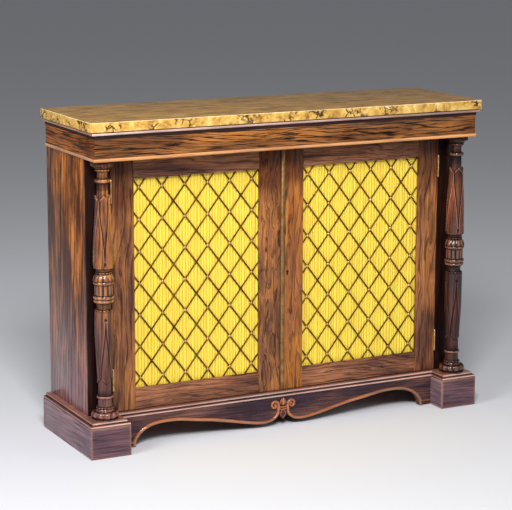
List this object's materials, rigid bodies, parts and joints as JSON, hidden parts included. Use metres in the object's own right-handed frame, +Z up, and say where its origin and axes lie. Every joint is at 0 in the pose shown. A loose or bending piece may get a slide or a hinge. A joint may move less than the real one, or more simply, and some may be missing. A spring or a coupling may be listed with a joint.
{
  "type": "chiffonier",
  "caption": "Low rosewood side cabinet with a marble top, turned columns, a scrolled apron and two doors of brass trellis over pleated silk.",
  "frame": {"origin": "on the floor, under the middle of the cabinet's bounding box", "axes": "+Z up, +X to the cabinet's right as it is seen from the front, -Y out of the front"},
  "size_m": [1.234, 0.367, 0.915],
  "materials": {
    "marble": "polished yellow marble with dark veins",
    "rosewood": "polished rosewood veneer",
    "rosewood_moulding": "polished solid rosewood",
    "pine": "planed and left bare",
    "brass": "lacquered, dull with age",
    "steel": "filed",
    "silk": "plain woven silk in upright pleats"
  },
  "bodies": {
    "carcase": {"marble_top": "marble", "frieze_front": "rosewood", "frieze_left": "rosewood", "frieze_right": "rosewood", "soffit_board": "rosewood", "side_left": "rosewood", "side_right": "rosewood", "stile_left": "rosewood", "stile_right": "rosewood", "pedestal_left": "rosewood", "pedestal_right": "rosewood", "plinth_side_left": "rosewood", "plinth_side_right": "rosewood", "cornice_front": "rosewood_moulding", "cornice_left": "rosewood_moulding", "cornice_right": "rosewood_moulding", "frieze_bead_front": "rosewood_moulding", "frieze_bead_left": "rosewood_moulding", "frieze_bead_right": "rosewood_moulding", "base_board": "rosewood_moulding", "apron": "rosewood_moulding", "column_left": "rosewood_moulding", "column_right": "rosewood_moulding", "sub_top": "pine", "back_board_left": "pine", "back_board_right": "pine", "shelf": "pine", "shelf_bearer_left": "pine", "shelf_bearer_right": "pine", "plinth_back": "pine", "cabinet_hinge_left_bottom": "brass", "cabinet_hinge_left_top": "brass", "cabinet_hinge_right_bottom": "brass", "cabinet_hinge_right_top": "brass"},
    "left_door": {"left_hinge_stile": "rosewood", "left_meeting_stile": "rosewood", "left_bottom_rail": "rosewood", "left_top_rail": "rosewood", "left_trellis": "brass", "left_silk": "silk", "left_silk_backing": "pine", "door_hinge_left_bottom": "brass", "door_hinge_left_top": "brass", "left_bolt_plate_top": "brass", "left_bolt_plate_bottom": "brass"},
    "right_door": {"right_hinge_stile": "rosewood", "right_meeting_stile": "rosewood", "right_bottom_rail": "rosewood", "right_top_rail": "rosewood", "right_trellis": "brass", "right_silk": "silk", "right_silk_backing": "pine", "door_hinge_right_bottom": "brass", "door_hinge_right_top": "brass", "meeting_strip": "brass", "lock_case": "steel", "keyhole_escutcheon": "brass"},
    "left_bolt_top": {"left_bolt_top": "brass"},
    "left_bolt_bottom": {"left_bolt_bottom": "brass"},
    "lock_bolt": {"lock_bolt": "brass"}
  },
  "joints": [
    {"name": "left_door_hinge", "type": "hinge", "parent": "carcase", "child": "left_door", "pos_m": [-0.5185, -0.0994, 0.45], "axis": [0, 0, -1], "range_deg": [0, 90]},
    {"name": "right_door_hinge", "type": "hinge", "parent": "carcase", "child": "right_door", "pos_m": [0.5185, -0.0994, 0.45], "axis": [0, 0, 1], "range_deg": [0, 90]},
    {"name": "left_bolt_top_slide", "type": "slide", "parent": "left_door", "child": "left_bolt_top", "axis": [0, 0, 1], "range_m": [0, 0.012]},
    {"name": "left_bolt_bottom_slide", "type": "slide", "parent": "left_door", "child": "left_bolt_bottom", "axis": [0, 0, -1], "range_m": [0, 0.012]},
    {"name": "lock_bolt_slide", "type": "slide", "parent": "right_door", "child": "lock_bolt", "axis": [-1, 0, 0], "range_m": [0, 0.008]}
  ]
}
